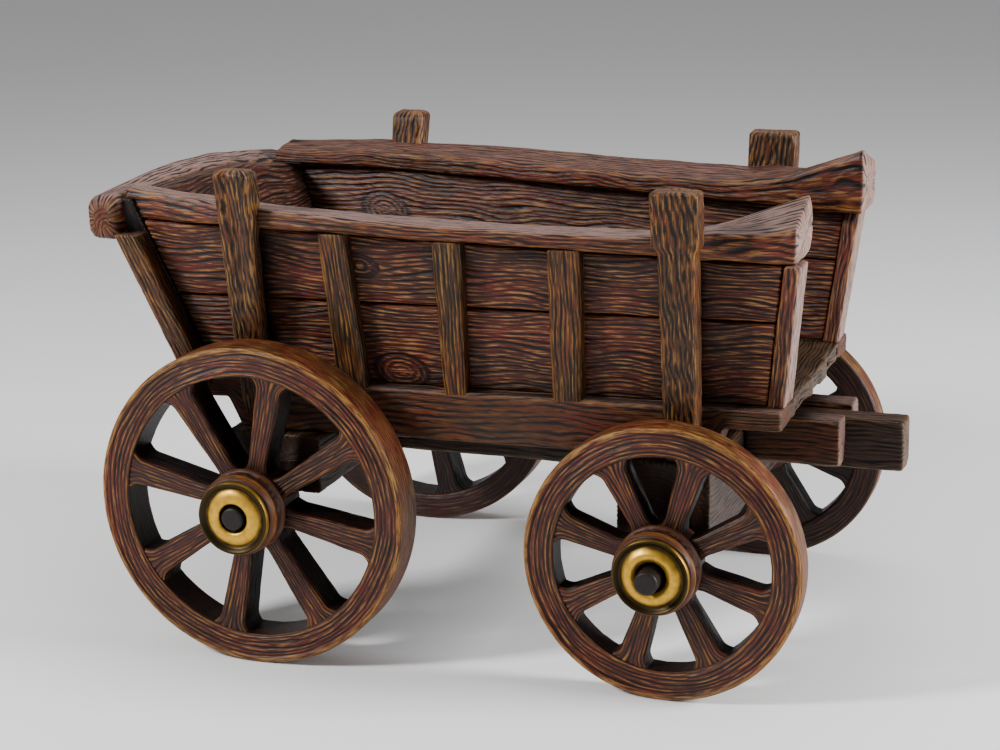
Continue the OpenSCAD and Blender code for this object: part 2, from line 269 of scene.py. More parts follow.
def painted_shade_of(part, body):
    """How closely its own body shuts in each point of a part, from 0 in the open to 1, with the part's own
    extra shade added: the painted shade each point gets.
    """
    solids = solids_of(body)
    grid, facing = part["grid"], part["facing"]
    picked = [np.unique(np.append(np.arange(0, n, step), n - 1)) for n, step in zip(grid.shape, STRIDES)]
    corner = np.ix_(*picked)
    start = (grid[corner] + CLEARANCE * facing[corner]).reshape(-1, 3) * MM
    aim = facing[corner].reshape(-1, 1, 3) + RAYS[None]
    aim /= np.linalg.norm(aim, axis=2, keepdims=True)
    shut = []
    for place, rays in zip(start.tolist(), aim.tolist()):
        blocked = 0.0
        for ray in rays:
            _, wall, _, distance = solids.ray_cast(place, ray, REACH * MM)
            if distance is not None and wall.dot(ray) < 0:
                blocked += 1 - distance / (REACH * MM)
        shut.append(blocked / RAY_COUNT)
    shut = np.array(shut).reshape(len(picked[0]), len(picked[1]))
    shut = np.stack([np.interp(np.arange(grid.shape[1]), picked[1], row) for row in shut])
    shut = np.stack([np.interp(np.arange(grid.shape[0]), picked[0], column) for column in shut.T], 1)
    shut = np.clip(shut + part["shade"], 0, 1)
    values = shut.reshape(-1, 1)
    if not part["closed"]:
        values = np.vstack([values, shut[0].mean().reshape(1, 1), shut[-1].mean().reshape(1, 1)])
    return values


def timber(
    section_at,
    cut,
    seed,
    corner=2.5,
    ends=(2.0, 2.0),
    along=2.2,
    across=0.75,
    knots=(),
    hollow=None,
    painted_shade=None,
    painted_light=(1, 0),
):
    """A carved timber. section_at gives four corners for each place from 0 to 1 along it, the side
    that shows most between the first two. hollow gives extra depth, and the argument after it
    painted shade, from the place along it and the place in its section. The last argument says how
    strongly its upper and its forward faces are painted paler, as painted light."""
    probe = section_at(np.linspace(0, 1, 41))
    length = np.linalg.norm(np.diff(probe.mean(1), axis=0), axis=1).sum()
    width = np.linalg.norm(probe[:, 1] - probe[:, 0], axis=1).mean()
    height = np.linalg.norm(probe[:, 2] - probe[:, 1], axis=1).mean()
    a, b, s, near = outline(width, height, corner, across)
    turn = np.linspace(0, math.pi / 2, 5)
    face = np.linspace(0.15, 1, max(4, int(min(width, height) / 2.5)))[:-1]
    head = [(0.0, ends[0], f) for f in face]
    head += [(ends[0] * (1 - math.cos(x)), ends[0] * (1 - math.sin(x)), 1.0) for x in turn]
    tail = [(length - ends[1] * (1 - math.cos(x)), ends[1] * (1 - math.sin(x)), 1.0) for x in turn[::-1]]
    tail += [(length, ends[1], f) for f in face[::-1]]
    straight = np.linspace(ends[0], length - ends[1], max(3, round(length / along)))[1:-1]
    stations = np.array(head + [(x, 0.0, 1.0) for x in straight] + tail)
    place, drawn_in, share = stations.T
    corners = section_at(place / length)
    drawn = np.minimum(drawn_in, 0.45 * min(width, height))
    aa = a[None] * (share * (1 - 2 * drawn / width))[:, None]
    bb = b[None] * (share * (1 - 2 * drawn / height))[:, None]
    grid = sum(
        ((1 + ca * aa) * (1 + cb * bb) / 4)[..., None] * corners[:, None, i]
        for i, (ca, cb) in enumerate(((-1, -1), (1, -1), (1, 1), (-1, 1)))
    )
    t = np.broadcast_to(place[:, None], aa.shape).copy()
    ss = np.broadcast_to(s[None], aa.shape).copy()
    on_end = (share < 1)[:, None] * np.ones_like(t)
    placed = []
    for point, size in knots:
        nearest = np.argmin(np.linalg.norm(grid - np.array(point), axis=2))
        placed.append((t.flat[nearest], ss.flat[nearest], size))
    groove = gouge(t, ss, cut, seed, placed)
    pith = np.hypot(aa * width / 2 + 0.2 * width, bb * height / 2 - 0.1 * height)
    end_rings = (0.5 + 0.5 * np.cos(2 * math.pi * pith / RING_GAP + 2 * waves(pith / 9, aa * 4, seed))) ** 2
    groove = np.where(on_end > 0, 0.35 * end_rings, groove)
    at_corner = np.exp(-((near[None] / 1.9) ** 2)) * np.ones_like(t)
    at_end = np.exp(-((np.minimum(place, length - place) / 2.2) ** 2))[:, None] * (1 - on_end)
    rubbed = cut["rub"] * np.clip(0.6 + 0.9 * waves(t / 15, ss / 12, seed + 7), 0, 1)
    worn = np.clip(np.maximum(at_corner * (1 - on_end), 0.5 * at_end) * rubbed, 0, 1)
    groove = groove * (1 - 0.55 * worn)
    inward = cut["uneven"] * (0.5 + 0.5 * waves(t / 36, ss / 17, seed + 5))
    inward = inward + cut["chip"] * worn * np.clip(waves(t / 9, ss / 9, seed + 6) + 0.2, 0, 1)
    u = (place / length)[:, None] * np.ones_like(t)
    if hollow:
        inward = inward + hollow(u, aa, bb)
    shade = painted_shade(u, aa, bb) if painted_shade else np.zeros_like(t)
    return carve(grid, False, t, ss, worn, inward, cut["depth"], seed, groove, painted_light, shade)


def turned(profile, softenings, axle, side, cut, seed, relief, along=2.2, across=0.75):
    """A piece turned about a wheel's axle, from a closed profile of radius and distance out, whose
    corners are cut off softenings times. relief gives extra depth, the share of grooving, wear and
    extra darkening for each radius and distance out; on a rim that darkening is painted shade."""
    profile = np.array(profile, float)
    for _ in range(softenings):
        following = np.roll(profile, -1, 0)
        profile = np.stack([0.78 * profile + 0.22 * following, 0.22 * profile + 0.78 * following], 1)
        profile = profile.reshape(-1, 2)
    loop = np.vstack([profile, profile[:1]])
    walked = np.concatenate([[0], np.cumsum(np.linalg.norm(np.diff(loop, axis=0), axis=1))])
    s = np.linspace(0, walked[-1], max(12, round(walked[-1] / across)), endpoint=False)
    radius = np.interp(s, walked, loop[:, 0])
    out = np.interp(s, walked, loop[:, 1])
    widest = radius.max()
    count = max(24, round(2 * math.pi * widest / along))
    angle = np.arange(count) * 2 * math.pi / count
    x, z = axle
    grid = np.stack(
        [
            x + radius[None] * np.cos(angle)[:, None],
            side * (out[None] + 0 * angle[:, None]),
            z + radius[None] * np.sin(angle)[:, None],
        ],
        -1,
    )
    t = (angle * widest)[:, None] * np.ones_like(grid[..., 0])
    ss = s[None] * np.ones_like(t)
    around = 2 * math.pi * widest
    opposite = np.mod(t + around / 2, around)
    near_start = ease(1 - np.minimum(t, around - t) / 20)
    groove = gouge(t, ss, cut, seed) * (1 - near_start) + gouge(opposite, ss, cut, seed + 40) * near_start
    r2, o2 = radius[None] * np.ones_like(t), out[None] * np.ones_like(t)
    extra, grooved, worn, shade = relief(r2, o2, t)
    hollows = round_waves(t, widest, 30, seed + 5)
    inward = cut["uneven"] * (0.5 + 0.5 * hollows)
    inward = inward + extra
    t = np.abs(t - around / 2)
    return carve(grid, True, t, ss, worn, inward, cut["depth"], seed, groove * grooved, (0, 0), shade)


def piece(name, parts, material, body, slot, *nodes):
    """One object from its parts, on its body, in place of its CAD nodes."""
    points, starts, loops, offset, loop_count = [], [], [], 0, 0
    for part in parts:
        # painted shade: points shut in by the body will be darkened towards the wash colour
        part["marks"]["soot"] = painted_shade_of(part, body)
    marks = {key: [] for key in parts[0]["marks"]}
    for part in parts:
        points.append(part["points"])
        for faces in (part["quads"], part["fans"]):
            sides = faces.shape[1]
            loops.append((faces + offset).ravel())
            starts.append(loop_count + sides * np.arange(len(faces)))
            loop_count += faces.size
        offset += len(part["points"])
        for key in marks:
            marks[key].append(part["marks"][key])
    points = np.vstack(points) * MM
    loops, starts = np.concatenate(loops), np.concatenate(starts)
    mesh = bpy.data.meshes.new(name)
    mesh.vertices.add(len(points))
    mesh.vertices.foreach_set("co", points.astype(np.float32).ravel())
    mesh.loops.add(len(loops))
    mesh.loops.foreach_set("vertex_index", loops.astype(np.int32))
    mesh.polygons.add(len(starts))
    mesh.polygons.foreach_set("loop_start", starts.astype(np.int32))
    mesh.polygons.foreach_set("use_smooth", np.ones(len(starts), bool))
    mesh.update(calc_edges=True)
    for key, values in marks.items():
        values = np.vstack(values).astype(np.float32)
        kind, field = ("FLOAT_VECTOR", "vector") if values.shape[1] == 3 else ("FLOAT", "value")
        mesh.attributes.new(key, kind, "POINT").data.foreach_set(field, values.ravel())
    mesh.materials.append(material)
    made = bpy.data.objects.new(name, mesh)
    bpy.context.scene.collection.objects.link(made)
    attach(made, body)
    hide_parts(*nodes)


def fixed(node, shape, material, slot):
    """A carved timber of the wagon itself, in place of the CAD node of that name."""
    piece(f"{node}_carved", [shape], material, "root", slot, node)


# ---- finishes ----


def srgb(colour):
    """An sRGB hex colour as linear red, green, blue and alpha."""
    parts = [int(colour[i : i + 2], 16) / 255 for i in (1, 3, 5)]
    return tuple(c / 12.92 if c <= 0.04045 else ((c + 0.055) / 1.055) ** 2.4 for c in parts) + (1.0,)


def add(tree, kind, inputs=None, **settings):
    """Adds a node with its settings. inputs gives sockets either a value or an output to link."""
    node = tree.nodes.new(kind)
    for key, value in settings.items():
        setattr(node, key, value)
    for key, value in (inputs or {}).items():
        if isinstance(value, bpy.types.NodeSocket):
            tree.links.new(value, node.inputs[key])
        else:
            node.inputs[key].default_value = value
    return node


def finish_of(name):
    """A new material, with its tree and its surface shader."""
    material = bpy.data.materials.new(name)
    material.use_nodes = True
    return material, material.node_tree, material.node_tree.nodes["Principled BSDF"]


FIBRE_SIZE = (16, 1.1)  # length and width of a streak of dry-brushed paint
CRACK_SIZE = (11, 0.85)  # length and width of a fine crack with wash in it


def stained_timber(
    name, wash, body, warm, brush, edge, painted_light, brushed=0.6, painted_light_strength=0.5, patch=55, satin=0.36
):
    """Carved pine under a dark wash, dry-brushed with ochre and sealed with satin varnish:
    black lies in the grooves, red and umber stain in patches, pale paint catches the ridges.
    Upper and forward faces are painted paler as painted light, and shut-in places darker as painted shade."""
    material, tree, shader = finish_of(name)
    grain = add(tree, "ShaderNodeAttribute", attribute_name="grain").outputs["Vector"]
    cut, worn, painted_light_mask, soot = (
        add(tree, "ShaderNodeAttribute", attribute_name=mark).outputs["Fac"]
        for mark in ("cut", "worn", "painted_light_mask", "soot")
    )
    noises = []
    for (long, wide), detail in (((patch, patch / 2), 3.0), (FIBRE_SIZE, 3.0), (CRACK_SIZE, 2.0)):
        place = add(
            tree, "ShaderNodeVectorMath", {0: grain, 1: (1 / long, 1 / wide, 1.0)}, operation="MULTIPLY"
        )
        noise = add(tree, "ShaderNodeTexNoise", {"Vector": place.outputs[0], "Scale": 1.0, "Detail": detail})
        noises.append(noise.outputs["Fac"])
    patches, fibres, cracks = noises
    stain = add(tree, "ShaderNodeMapRange", {"Value": patches, "From Min": 0.4, "From Max": 0.62})
    bare = {"Value": cut, "From Min": 0.0, "From Max": 0.16, "To Min": 1, "To Max": 0}
    ridge = add(tree, "ShaderNodeMapRange", bare)
    streak = add(
        tree, "ShaderNodeMapRange", {"Value": fibres, "From Min": 0.47, "From Max": 0.62, "To Max": brushed}
    )
    brushing = add(
        tree, "ShaderNodeMath", {0: ridge.outputs[0], 1: streak.outputs[0]}, operation="MULTIPLY"
    )
    # painted light: the pale tone laid on upper and forward faces
    painted_light_share = add(
        tree, "ShaderNodeMapRange", {"Value": painted_light_mask, "From Min": 0.45, "From Max": 0.95, "To Max": painted_light_strength}
    )
    rub = add(
        tree, "ShaderNodeMapRange", {"Value": fibres, "From Min": 0.36, "From Max": 0.6, "To Max": 0.8}
    )
    rubbed = add(tree, "ShaderNodeMath", {0: worn, 1: rub.outputs[0]}, operation="MULTIPLY")
    crack = add(
        tree, "ShaderNodeMapRange", {"Value": cracks, "From Min": 0.55, "From Max": 0.66, "To Max": 0.85}
    )
    in_groove = add(
        tree, "ShaderNodeMapRange", {"Value": cut, "From Min": 0.12, "From Max": 0.5, "To Max": 0.97}
    )
    # painted shade: the wash colour laid over places shut in by the body
    recess_shade_share = add(
        tree, "ShaderNodeMapRange", {"Value": soot, "From Min": 0.1, "From Max": 0.62, "To Max": 0.9}
    )
    coats = (
        (stain, warm),
        (brushing, brush),
        (painted_light_share, painted_light),
        (rubbed, edge),
        (crack, wash),
        (in_groove, wash),
        (recess_shade_share, wash),
    )
    colour = srgb(body)
    for share, paint in coats:
        coat = {"Fac": share.outputs[0], "Color1": colour, "Color2": srgb(paint)}
        colour = add(tree, "ShaderNodeMixRGB", coat).outputs[0]
    rough = add(tree, "ShaderNodeMapRange", {"Value": fibres, "To Min": satin, "To Max": satin + 0.22})
    tree.links.new(colour, shader.inputs["Base Color"])
    tree.links.new(rough.outputs[0], shader.inputs["Roughness"])
    height = add(tree, "ShaderNodeMath", {0: fibres, 1: cracks}, operation="SUBTRACT")
    bump = add(tree, "ShaderNodeBump", {"Height": height.outputs[0], "Distance": 0.5 * MM, "Strength": 0.7})
    tree.links.new(bump.outputs[0], shader.inputs["Normal"])
    shader.inputs["IOR"].default_value = 1.5
    shader.inputs["Specular IOR Level"].default_value = 0.28
    return material


def aged_brass():
    """Cast brass bush, polished where it stands proud and dark with old wax in its hollows."""
    material, tree, shader = finish_of("aged_brass")
    cut = add(tree, "ShaderNodeAttribute", attribute_name="cut").outputs["Fac"]
    grain = add(tree, "ShaderNodeAttribute", attribute_name="grain").outputs["Vector"]
    place = add(tree, "ShaderNodeVectorMath", {0: grain, 1: (1 / 5, 1 / 4, 1.0)}, operation="MULTIPLY")
    tarnish = add(tree, "ShaderNodeTexNoise", {"Vector": place.outputs[0], "Scale": 1.0, "Detail": 4.0})
    metal = add(
        tree,
        "ShaderNodeMixRGB",
        {"Fac": tarnish.outputs["Fac"], "Color1": srgb("#e0b040"), "Color2": srgb("#a87c22")},
    )
    colour = add(
        tree, "ShaderNodeMixRGB", {"Fac": cut, "Color1": metal.outputs[0], "Color2": srgb("#2f2410")}
    )
    rough = add(
        tree, "ShaderNodeMapRange", {"Value": tarnish.outputs["Fac"], "To Min": 0.28, "To Max": 0.55}
    )
    tree.links.new(colour.outputs[0], shader.inputs["Base Color"])
    tree.links.new(rough.outputs[0], shader.inputs["Roughness"])
    shader.inputs["Metallic"].default_value = 0.85
    return material


def black_iron():
    """Forged and blackened iron: scale leaves it matt and faintly mottled."""
    material, tree, shader = finish_of("black_iron")
    place = add(tree, "ShaderNodeTexCoord").outputs["Object"]
    scale = add(tree, "ShaderNodeTexNoise", {"Vector": place, "Scale": 1 / (3 * MM), "Detail": 4.0})
    colour = add(
        tree,
        "ShaderNodeMixRGB",
        {"Fac": scale.outputs["Fac"], "Color1": srgb("#0d0a0a"), "Color2": srgb("#2b2422")},
    )
    tree.links.new(colour.outputs[0], shader.inputs["Base Color"])
    height = scale.outputs["Fac"]
    bump = add(tree, "ShaderNodeBump", {"Height": height, "Distance": 0.4 * MM, "Strength": 0.7})
    tree.links.new(bump.outputs[0], shader.inputs["Normal"])
    shader.inputs["Roughness"].default_value = 0.5
    shader.inputs["Metallic"].default_value = 0.6
    return material


# Each finish: the wash in its grooves, two stains in patches, the paint brushed over its ridges,
# the paint its edges are rubbed to, and the pale tone painted on its upper faces as painted light.

# pine boards under red stain: the darkest and reddest faces, with fine ochre lines
BOARD_FINISH = stained_timber(
    "russet_stained_boards", "#040202", "#3a1409", "#53140a", "#a07545", "#9c5717", "#653e39", brushed=0.7
)
# the boards of the back: the same pine, painted greyer and darker as painted shade
SHADED_BOARD_FINISH = stained_timber(
    "shaded_tub_boards", "#050303", "#32180e", "#3f190e", "#7a5e4f", "#68482e", "#59433b", brushed=0.55
)
# handled top timbers: their tops are painted a pale lilac as painted light
RAIL_FINISH = stained_timber(
    "lilac_brown_rails", "#070303", "#481d0f", "#5a2117", "#9d753d", "#a07439", "#93776f",
    brushed=0.5, painted_light_strength=0.8,
)
# uprights: heavily brushed, so ochre ridges stand out from black grooves
FRAME_FINISH = stained_timber(
    "ochre_rubbed_frame", "#060302", "#391f07", "#53270a", "#8b662c", "#9c6728", "#83624f", brushed=0.72
)
# sills and hounds: smooth umber with little brushing
SILL_FINISH = stained_timber(
    "umber_sills", "#0b0604", "#3f2108", "#531e0a", "#6c4a1e", "#7e5620", "#765d55",
    brushed=0.42, painted_light_strength=0.85,
)
# floor planks: damp and dull, towards olive
DECK_FINISH = stained_timber(
    "olive_deck_planks", "#080504", "#2f1c0c", "#3b2416", "#574424", "#856248", "#503d2c",
    brushed=0.42, painted_light_strength=0.4,
)
# timbers under the wagon: almost black, with their upper and forward faces painted paler as painted light
BEAM_FINISH = stained_timber(
    "dark_running_gear", "#060303", "#261308", "#31180b", "#5a3d16", "#7f5b20", "#614838",
    brushed=0.4, painted_light_strength=0.55,
)
# felloes: red-brown, with the lip of the tread rubbed to ochre
FELLOE_FINISH = stained_timber(
    "brown_felloes", "#050202", "#40190c", "#53110a", "#916b34", "#9a6f30", "#6e483a", brushed=0.7
)
# spokes: the same stain, lined along their length
SPOKE_FINISH = stained_timber(
    "brown_spokes", "#040202", "#3a1407", "#4c1c13", "#916420", "#946012", "#6e483a", brushed=0.68
)
# naves: darker than the spokes, with little brushing
NAVE_FINISH = stained_timber(
    "dark_naves", "#080403", "#311409", "#431f16", "#69431a", "#925e1a", "#6e483a", brushed=0.4
)
BRASS = aged_brass()
IRON = black_iron()


# ---- timbers whose section the CAD node gives ----


def section(xs, ys, zs):
    """The four corners of a section, from their x, y and z for each place along a timber."""
    return np.stack([np.stack(np.broadcast_arrays(*corner), -1) for corner in zip(xs, ys, zs)], 1)


def straight_from(node, along, shows, sink=0.0, reach=0.0):
    """Section of a straight timber, from the eight corners of its CAD node. sink lets its hidden
    face into the timber behind, and reach lets its ends into their neighbours."""
    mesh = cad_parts[node].data
    corners = np.unique(np.round(np.array([v.co for v in mesh.vertices]) / MM, 2), axis=0)
    if len(corners) != 8:
        raise ValueError(f"{node} has {len(corners)} corners")
    shows = np.array(shows, float)
    ranked = corners[np.argsort(corners @ along)]
    across = np.cross(along, shows)
    ends = []
    for four in (ranked[:4], ranked[4:]):
        arm = four - four.mean(0)
        four = four[np.argsort(np.arctan2(arm @ across, arm @ shows))]
        arm = four - four.mean(0)
        first = np.argmax([(arm[i] + arm[(i + 1) % 4]) @ shows for i in range(4)])
        ends.append(np.roll(four, -first, 0))
    start, end = ends
    direction = (end - start).mean(0)
    direction /= np.linalg.norm(direction)
    start, end = start - reach * direction, end + reach * direction
    for four in (start, end):
        behind = (four[2] + four[3] - four[0] - four[1]) / 2
        four[2:] += sink * behind / np.linalg.norm(behind)
    return lambda u: start[None] * (1 - u)[:, None, None] + end[None] * u[:, None, None]


def box_from(node):
    """Section of a square beam across the wagon, from its CAD node's box, its front face showing."""
    (x0, y0, z0), (x1, y1, z1) = box_mm(node)
    four = np.array([[x1, 0, z0], [x1, 0, z1], [x0, 0, z1], [x0, 0, z0]])
    return lambda u: four[None] + np.stack([0 * u, y0 + (y1 - y0) * u, 0 * u], -1)[:, None]


def back_edge(z):
    """Where the side boards end at the back, which rakes outwards."""
    return REAR_X - 50 - 0.38 * (z - FLOOR_TOP)


# ---- wheels ----

RIM_DEPTH = 22
LIP = 3.6  # width of the smooth lip round the face of a rim
HUB_R = 28
NOSE = 21  # how far the hub stands out past the rim
SPOKE_INSET = 2
SPOKES = 8
SPOKE_WIDTHS = (13, 21)  # at the hub and at the rim
HUB_BORE = 7.1
RING_HOLE = 10.5
CAP_R = 8.6
AXLE_PROUD = {"rear": 6, "front": 16}  # how far an axle's end stands out of its hub


def spoke_start(end, side):
    """Degrees from the first spoke to level. The rear left wheel stands turned from its mirror place."""
    if end == "rear":
        return 32 if side > 0 else 12
    return 17


def rim(end, side, seed):
    """A rim of one ring: a smooth lip, then a face carved along its round, and a plain tread."""
    low, high = box_mm(f"{end}_right_rim")
    outside, inside = -low[1], -high[1]
    radius = WHEEL_R[end]
    width = outside - inside
    a, b, _, _ = outline(RIM_DEPTH, width, 2.6, 2.0)
    profile = np.stack([radius - RIM_DEPTH / 2 * (1 - a), outside - width / 2 * (1 + b)], -1)
    def relief(r, out, t):
        from_tread = radius - r
        on_face = ease(out - (outside - 1.5))
        on_back = ease(inside + 1.5 - out)
        wavy = LIP + 0.5 * round_waves(t, radius, 14, seed + 8)
        below_lip = ease(from_tread - wavy)
        inner_edge = np.exp(-(((from_tread - RIM_DEPTH + 1.2) / 1.3) ** 2))
        grooved = on_face * below_lip * (1 - 0.6 * inner_edge) + 0.35 * on_back + 0.12
        nicks = np.clip(round_waves(t, radius, 8, seed + 9), 0, 1)
        step = 0.9 * on_face * below_lip + 0.5 * inner_edge * nicks
        lip_wear = np.exp(-((from_tread - 1.6) ** 2) / 3.2) * ease((out - (outside - 3.5)) / 2.5)
        worn = np.clip(lip_wear + 0.55 * inner_edge * on_face, 0, 1)
        # painted shade: the rim's back face and its inner face towards the hub are darkened
        rim_shade = 0.5 * on_back + 0.45 * ease((from_tread - RIM_DEPTH + 1.0) / 0.8)
        return step, np.clip(grooved, 0, 1), worn, rim_shade

    return turned(profile, 0, (AXLE_X[end], radius), side, FELLOE, seed, relief)


def spoke(end, side, number, seed):
    """A flat spoke that widens towards the rim and flares into it and into the hub."""
    low, high = box_mm(f"{end}_right_rim")
    outside, inside = -low[1] - SPOKE_INSET, -high[1] + SPOKE_INSET
    radius = WHEEL_R[end]
    angle = math.radians(360 * number / SPOKES - spoke_start(end, side))
    r0, r1 = HUB_R - 2, radius - RIM_DEPTH + 2
    lengthwise = np.array([math.cos(angle), 0, math.sin(angle)])
    sideways = np.array([-math.sin(angle), 0, math.cos(angle)])
    centre = np.array([AXLE_X[end], 0, radius])

    def section_at(u):
        r = r0 + (r1 - r0) * u
        half = (SPOKE_WIDTHS[0] + (SPOKE_WIDTHS[1] - SPOKE_WIDTHS[0]) * u) / 2
        half = half + 6.5 * ease((r - r1 + 12) / 12) ** 2 + 2.2 * ease((r0 + 9 - r) / 9)
        middle = centre + r[:, None] * lengthwise
        corners = []
        for way, out in ((-1, outside), (1, outside), (1, inside), (-1, inside)):
            corners.append(middle + (way * half)[:, None] * sideways + np.array([0, side * out, 0]))
        return np.stack(corners, 1)

    # painted shade: every face of the spoke but the showing one is darkened
    def painted_shade(u, a, b):
        return 0.55 * ease((b + 0.85) / 0.3)

    return timber(section_at, SPOKE, seed, corner=2.6, ends=(1, 1), along=2.4, painted_shade=painted_shade, painted_light=(0, 0))


def hub(end, side, seed):
    """A turned nave with a beaded nose, and a band of small cuts between its two lips."""
    low, high = box_mm(f"{end}_right_rim")
    inside, width = -high[1], high[1] - low[1]
    steps = [
        (HUB_BORE, -3), (24, -3), (HUB_R, 1), (HUB_R, width), (31, width + 0.5), (31, width + 4),
        (29, width + 5.5), (28.6, width + 11.5), (30, width + 13), (30, width + 17.5),
        (27.8, width + NOSE - 0.1), (HUB_BORE, width + NOSE - 0.1),
    ]
    profile = [(r, inside + out) for r, out in steps]

    def relief(r, out, t):
        place = out - inside - width
        on_band = ease(place - 5) * ease(12.5 - place) * (r > 20)
        dash = ease((round_waves(t, 31, 2.6, seed + 11) - 0.05) / 0.4)
        dash = dash * ease((waves(t / 5, place / 4, seed + 12) + 0.6) / 0.5)
        lip = np.exp(-(((place - 15.3) / 2.4) ** 2)) * (r > 25)
        back = np.exp(-(((place - 2) / 2.2) ** 2)) * (r > 28)
        worn = np.clip(lip + 0.35 * back, 0, 1)
        return dash * on_band, 0.25 + 0.6 * on_band, worn, 0.4 * dash * on_band

    return turned(profile, 1, (AXLE_X[end], WHEEL_R[end]), side, NAVE, seed, relief, along=1.6)


def brass_ring(end, side, seed):
    """A cast brass bush, dished between its outer edge and its middle. Its wax lies in the hollows."""
    low, high = box_mm(f"{end}_right_ring")
    face, front = -high[1], -low[1]
    steps = {
        "rear": [
            (RING_HOLE, face), (27.8, face), (27.2, front - 0.6), (25.2, front), (21.8, face + 1.4),
            (20.2, face + 3.0), (17, front - 0.6), (13, front), (RING_HOLE, front - 1.2),
        ],
        "front": [
            (RING_HOLE, face), (27.8, face), (27.2, front - 1.2), (25.6, front - 0.8), (22.4, face + 1.0),
            (20.6, face + 2.6), (17.4, front), (13.6, front), (RING_HOLE + 0.6, face + 2.4),
        ],
    }[end]

    def relief(r, out, t):
        dish = np.exp(-(((r - 22.4) / 2.4) ** 2)) + 0.55 * np.exp(-(((r - 26.6) / 1.6) ** 2))
        edge = 0.5 * ease((r - 22) / 1.5) * ease((27.2 - r) / 0.8)
        round_hole = 0.8 * ease((11.6 - r) / 1.2)
        at_foot = ease((face + 0.25 * (front - face) - out) / 0.8)
        patches = 0.35 * np.clip(waves(t / 9, r / 5, seed + 3), 0, 1)
        wax = np.clip(dish + edge + round_hole + at_foot + patches, 0, 1)
        return 0 * r, 0 * r, wax, 0 * r

    made = turned(steps, 2, (AXLE_X[end], WHEEL_R[end]), side, METAL, seed, relief, along=1.4, across=0.5)
    made["marks"]["cut"] = made["marks"]["worn"]
    return made


def axle_end(end, side, seed):
    """The blackened end of an axle, round, with a softly hammered rim."""
    hub_face = -box_mm(f"{end}_right_hub")[0][1]
    root, tip = hub_face - 4, hub_face + AXLE_PROUD[end]
    xs = [AXLE_X[end] + CAP_R * way for way in (-1, 1, 1, -1)]
    zs = [WHEEL_R[end] + CAP_R * way for way in (-1, -1, 1, 1)]

    def section_at(u):
        return section(xs, (side * (root + (tip - root) * u),) * 4, zs)

    return timber(
        section_at, METAL, seed, corner=CAP_R, ends=(0.5, 2.2), along=1.2, across=0.8, painted_light=(0, 0)
    )


for end in ("rear", "front"):
    for side_name, side in SIDES.items():
        wheel = f"{end}_{side_name}"
        seed = 100 + 10 * (end == "front") + 5 * (side > 0)
        body = f"{wheel}_wheel"
        piece(f"{wheel}_felloes", [rim(end, side, seed)], FELLOE_FINISH, body, "rim_timber", f"{wheel}_rim")
        spokes = [spoke(end, side, i, seed + 20 + 7 * i) for i in range(SPOKES)]
        piece(f"{wheel}_spoke_set", spokes, SPOKE_FINISH, body, "spoke_timber", f"{wheel}_spokes")
        piece(f"{wheel}_nave", [hub(end, side, seed + 3)], NAVE_FINISH, body, "hub_timber", f"{wheel}_hub")
        piece(f"{wheel}_bush", [brass_ring(end, side, seed + 4)], BRASS, body, "hub_brass", f"{wheel}_ring")

places = [(end, side) for end in AXLE_X for side in SIDES.values()]
axle_ends = [axle_end(end, side, 300 + 5 * i) for i, (end, side) in enumerate(places)]
piece("axle_ends", axle_ends, IRON, "root", "axle_iron", "axle_caps")
for node in ("rear_axle", "front_axle"):
    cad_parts[node].data.materials.clear()
    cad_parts[node].data.materials.append(IRON)


# ---- sides of the tub ----

TAPER = 0.045
LEDGE_OUT = 122
SILL_T = 34.5
SILL_BOTTOM = FLOOR_TOP - 38
# a top rail over the floor: its upper face before sweep and horn, and its underside at the rear axle
RAIL_OVER, RAIL_UNDER = 123, 115
RAIL_FALL = 0.032
SWEEP_RISE, HORN_RISE = 23, 22


def sill_outer(x):
    """Half width over the sills, which spread towards the back."""
    return LEDGE_OUT + TAPER * (FLOOR_FRONT - x)


def sill(side, seed):
    """A sill, deep from one axle to the other and only as deep as the deck beyond them."""
    (x0, _, _), (x1, _, _) = box_mm("sill_right")
    nose = FLOOR_FRONT - 2

    def section_at(u):
        x = x0 + (nose - x0) * u
        steps = [x0, REAR_X - 36, REAR_X - 26, FRONT_X + 25, FRONT_X + 33, x1]
        deep = [DECK_BOTTOM, DECK_BOTTOM, SILL_BOTTOM, SILL_BOTTOM, DECK_BOTTOM, DECK_BOTTOM]
        low = np.interp(x, steps, deep)
        outer = side * sill_outer(x)
        inner = outer - side * SILL_T
        return section((x,) * 4, (outer, outer, inner, inner), (low, FLOOR_TOP, FLOOR_TOP, low))

    return timber(section_at, SILL, seed, corner=3.5, ends=(3, 3))


def rail_over(x):
    """Top of a top rail: it sweeps up to the back, and up again to the horn at the front."""
    sweep = SWEEP_RISE * ((FRONT_X - 20 - x) / 426) ** 2
    horn = HORN_RISE * (np.clip(x - FRONT_X + 10, 0, None) / 90) ** 1.4
    return FLOOR_TOP + RAIL_OVER + sweep + horn


def rail_under(x):
    """Underside of a top rail, which is straight."""
    return FLOOR_TOP + RAIL_UNDER - RAIL_FALL * (x - REAR_X)


